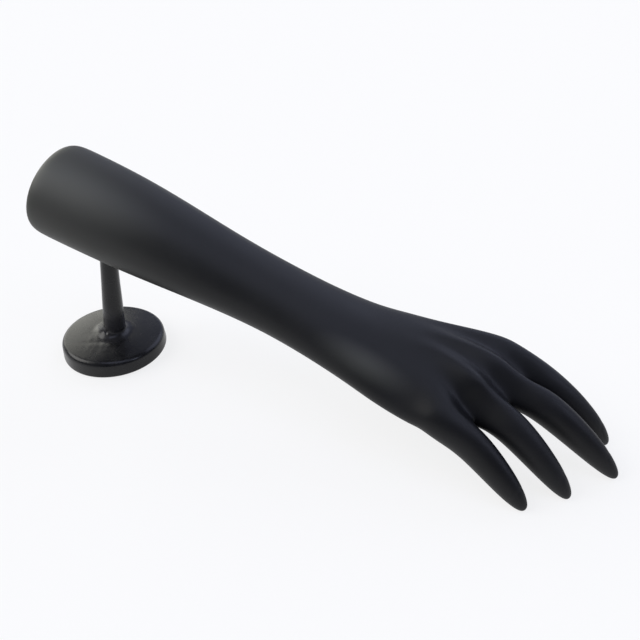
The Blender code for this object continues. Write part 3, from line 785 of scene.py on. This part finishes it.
def cast_finish_group():
    """Finish of a painted casting: slow mottle, fine grain, and a few specks of dust."""
    numbers = {"Mottle Scale": 20.0, "Grain Scale": 2500.0, "Speck Scale": 60.0, "Speck Size": 0.02}
    tree, given, result = new_group("Cast finish", numbers, ("Mottle", "Grain", "Specks"))
    place = given["Position"]
    slow = noise(tree, place, given["Mottle Scale"], detail=4.0)
    fine = noise(tree, place, given["Grain Scale"], detail=2.0)
    cells = node(tree, "ShaderNodeTexVoronoi", {"Vector": place, "Scale": given["Speck Scale"]})
    specks = ranged(tree, cells.outputs["Distance"], to=(1.0, 0.0), span=(0.0, given["Speck Size"]))
    tree.links.new(eased(tree, slow, span=MOTTLE_SPAN), result["Mottle"])
    tree.links.new(fine, result["Grain"])
    tree.links.new(specks, result["Specks"])
    return tree


def machined_group():
    """Finish of a turned or drawn metal: fine streaks across its length and faint tarnish."""
    numbers = {"Streak Scale": 900.0, "Tarnish Scale": 120.0}
    tree, given, result = new_group("Machined finish", numbers, ("Streaks", "Tarnish"))
    squeezed = node(tree, "ShaderNodeMapping", {"Vector": given["Position"], "Scale": (0.08, 0.08, 1.0)})
    streaks = noise(tree, squeezed.outputs["Vector"], given["Streak Scale"], detail=3.0)
    tarnish = noise(tree, given["Position"], given["Tarnish Scale"], detail=5.0)
    tree.links.new(streaks, result["Streaks"])
    tree.links.new(tarnish, result["Tarnish"])
    return tree


def new_material(name, **constants):
    """Material with its Principled shader's constant inputs set, and its Object coordinates."""
    material = bpy.data.materials.new(name)
    material.use_nodes = True
    tree = material.node_tree
    shader = tree.nodes["Principled BSDF"]
    for label, value in constants.items():
        shader.inputs[label.replace("_", " ")].default_value = value
    place = node(tree, "ShaderNodeTexCoord").outputs["Object"]
    return material, tree, shader, place


def placed(tree, group, **values):
    """Outputs of a shader group, with its inputs given by their names."""
    inputs = {label.replace("_", " "): value for label, value in values.items()}
    return node(tree, "ShaderNodeGroup", inputs, node_tree=group).outputs


def coat(tree, shader, tone, roughness):
    tree.links.new(tone, shader.inputs["Base Color"])
    tree.links.new(roughness, shader.inputs["Roughness"])


def arm_material(name, cast_finish):
    """Matte black paint, darker and bluer at the fingers as painted shade and cool light, hazed with dust
    and a painted highlight towards the elbow, with painted highlights below the elbow and along the heel
    of the hand, with mottle and specks."""
    material, tree, shader, place = new_material(name, Specular_IOR_Level=0.25)
    finish = placed(tree, cast_finish, Position=place, Mottle_Scale=26.0, Grain_Scale=2600.0)
    along = node(tree, "ShaderNodeSeparateXYZ", {"Vector": place}).outputs["X"]
    # Painted shade and cool light: the paint darkens and turns bluer towards the fingers
    finger_shade = ranged(tree, along, span=FINGER_SHADE_REACH)
    # Dust and a painted highlight: paler towards the elbow
    dust_and_highlight = eased(tree, along, to=(1.0, 0.0), span=DUST_AND_HIGHLIGHT_REACH)
    paint = mixed(tree, finish["Mottle"], mixed(tree, finger_shade, *ARM_THIN), mixed(tree, finger_shade, *ARM_FULL))
    dusted_and_highlighted = mixed(tree, dust_and_highlight, paint, ARM_DUST_AND_HIGHLIGHT)
    # Painted highlight along the heel of the hand
    heel_highlighted = mixed(tree, soft_patch(tree, place, *HEEL_HIGHLIGHT), dusted_and_highlighted, HEEL_HIGHLIGHT_TONE)
    # Painted highlight below the elbow
    highlighted = mixed(tree, soft_patch(tree, place, *ELBOW_HIGHLIGHT), heel_highlighted, ELBOW_HIGHLIGHT_TONE)
    specked = mixed(tree, finish["Specks"], highlighted, ARM_SPECK)
    coat(tree, shader, specked, ranged(tree, finish["Mottle"], ARM_ROUGHNESS))
    raised(tree, shader, finish["Grain"], distance=0.00006, strength=0.5)
    return material


def pedestal_material(cast_finish):
    """Satin black enamel over a rough casting: uneven gloss, small pits, specks of dust and a paler patch
    round the post's foot.
    """
    material, tree, shader, place = new_material("pedestal_enamel", Specular_IOR_Level=0.29)
    finish = placed(tree, cast_finish, Position=place, Mottle_Scale=95.0, Grain_Scale=900.0,
                    Speck_Scale=150.0)
    paint = mixed(tree, finish["Mottle"], *ENAMEL)
    # Paler patch round the post's foot
    foot_paled = mixed(tree, soft_patch(tree, place, *FOOT_PALE_PATCH), paint, ENAMEL_PALE)
    specked = mixed(tree, finish["Specks"], foot_paled, ENAMEL_SPECK)
    coat(tree, shader, specked, ranged(tree, finish["Mottle"], ENAMEL_ROUGHNESS))
    raised(tree, shader, finish["Grain"], distance=0.00005, strength=0.5)
    return material


def felt_material():
    """Black wool felt: matted fibres of two wavelengths, dull and soft."""
    material, tree, shader, place = new_material("pad_wool_felt", Specular_IOR_Level=0.15, Sheen_Weight=0.3)
    fibres = noise(tree, place, scale=1900.0, detail=6.0)
    tufts = noise(tree, place, scale=260.0, detail=3.0)
    wool = mixed(tree, fibres, mixed(tree, tufts, *WOOL), WOOL_FIBRE)
    coat(tree, shader, wool, ranged(tree, tufts, WOOL_ROUGHNESS))
    raised(tree, shader, fibres, distance=0.0004)
    return material


def resin_material(cast_finish):
    """Raw cast resin of the block in the forearm: cream, cloudy, with tiny bubbles."""
    material, tree, shader, place = new_material("anchor_raw_resin")
    finish = placed(tree, cast_finish, Position=place, Mottle_Scale=160.0, Grain_Scale=1500.0,
                    Speck_Scale=420.0)
    body = mixed(tree, finish["Specks"], mixed(tree, finish["Mottle"], *RESIN), RESIN_BUBBLE)
    coat(tree, shader, body, ranged(tree, finish["Mottle"], RESIN_ROUGHNESS))
    raised(tree, shader, finish["Grain"], distance=0.0001)
    return material


def metal_material(name, machined, tones):
    """Turned metal: streaked gloss, tarnish between two tones."""
    material, tree, shader, place = new_material(name, Metallic=1.0)
    finish = placed(tree, machined, Position=place)
    streaked = ranged(tree, finish["Streaks"], METAL_ROUGHNESS)
    coat(tree, shader, mixed(tree, finish["Tarnish"], *tones), streaked)
    raised(tree, shader, finish["Streaks"], distance=0.00004)
    return material


def finish_part(piece, material, node_name):
    piece.data.materials.clear()
    piece.data.materials.append(material)
    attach(piece, "root")
    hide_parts(node_name)


# Floor, light and camera

def make_floor():
    """Wide pale sheet under the stand; to the eye it is mostly its own white, with a soft shadow."""
    mesh = bpy.data.meshes.new("floor")
    signs = ((-1, -1), (1, -1), (1, 1), (-1, 1))
    corners = [(FLOOR_REACH * x, FLOOR_REACH * y, -FLOOR_DROP) for x, y in signs]
    mesh.from_pydata(corners, [], [(0, 1, 2, 3)])
    floor = piece_of(mesh)
    material = bpy.data.materials.new("floor_paper")
    material.use_nodes = True
    tree = material.node_tree
    tree.nodes.clear()
    paper = node(tree, "ShaderNodeBsdfDiffuse", {"Color": colour([FLOOR_PAPER] * 3)})
    white = node(tree, "ShaderNodeEmission", {"Color": colour([1.0] * 3), "Strength": 1.0})
    rays = node(tree, "ShaderNodeLightPath").outputs
    share = rays["Is Camera Ray"]
    for operation, other in (("MAXIMUM", rays["Is Glossy Ray"]), ("MAXIMUM", rays["Is Transmission Ray"]),
                             ("MULTIPLY", FLOOR_WHITE)):
        share = node(tree, "ShaderNodeMath", {0: share, 1: other}, operation=operation).outputs[0]
    both = node(tree, "ShaderNodeMixShader", {0: share, 1: paper.outputs[0], 2: white.outputs[0]})
    output = node(tree, "ShaderNodeOutputMaterial", {"Surface": both.outputs[0]})
    output.is_active_output = True
    mesh.materials.append(material)


def make_light():
    """Warm window on the left and a lower one further back, cool soft lights behind, at the back right
    and on the right, a small lamp there, one overhead, and a dim cool room that is a little brighter at
    the back."""
    world = bpy.data.worlds.new("studio")
    world.use_nodes = True
    bpy.context.scene.world = world
    tree = world.node_tree
    way = node(tree, "ShaderNodeTexCoord").outputs["Generated"]
    facing = node(tree, "ShaderNodeVectorMath", {0: way, 1: ROOM_WAY}, operation="DOT_PRODUCT")
    level = eased(tree, facing.outputs["Value"], to=ROOM_STRENGTH, span=ROOM_SPAN)
    background = tree.nodes["Background"].inputs
    tree.links.new(level, background["Strength"])
    background["Color"].default_value = colour(COOL)
    for name, azimuth, elevation, spread, energy, tone in LAMPS:
        lamp = bpy.data.lights.new(name, "SUN")
        lamp.energy = energy
        lamp.angle = math.radians(spread)
        lamp.color = tone
        key = in_scene(name, lamp)
        key.rotation_euler = (0.0, math.radians(90.0 - elevation), math.radians(azimuth))


def make_camera():
    lens = bpy.data.cameras.new("camera")
    lens.sensor_width = CAMERA_SENSOR
    lens.lens = CAMERA_LENS
    lens.clip_start = CAMERA_CLIP
    camera = in_scene("camera", lens)
    camera.location = CAMERA_PLACE
    camera.rotation_euler = (math.radians(90.0 - CAMERA_DIP), 0.0, math.radians(CAMERA_TURN))
    bpy.context.scene.camera = camera


make_camera()
make_floor()
make_light()
bpy.context.scene.view_settings.view_transform = "Standard"

cast_finish = cast_finish_group()
machined = machined_group()
finish_part(make_arm(), arm_material("arm_matte_black", cast_finish), "arm_casting")
finish_part(make_plug(), arm_material("plug_matte_black", cast_finish), "elbow_plug")
finish_part(make_pedestal(), pedestal_material(cast_finish), "pedestal_casting")
pad = make_pad()
finish_part(pad, felt_material(), "base_pad")

brass = metal_material("insert_turned_brass", machined, BRASS)
zinc = metal_material("fixing_plated_steel", machined, ZINC)
inner_pieces = {"anchor_block": resin_material(cast_finish), "threaded_insert": brass, "tie_rod": zinc,
                "clamp_washer": zinc, "clamp_nut": zinc}
for name, material in inner_pieces.items():
    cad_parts[name].material_slots[0].material = material
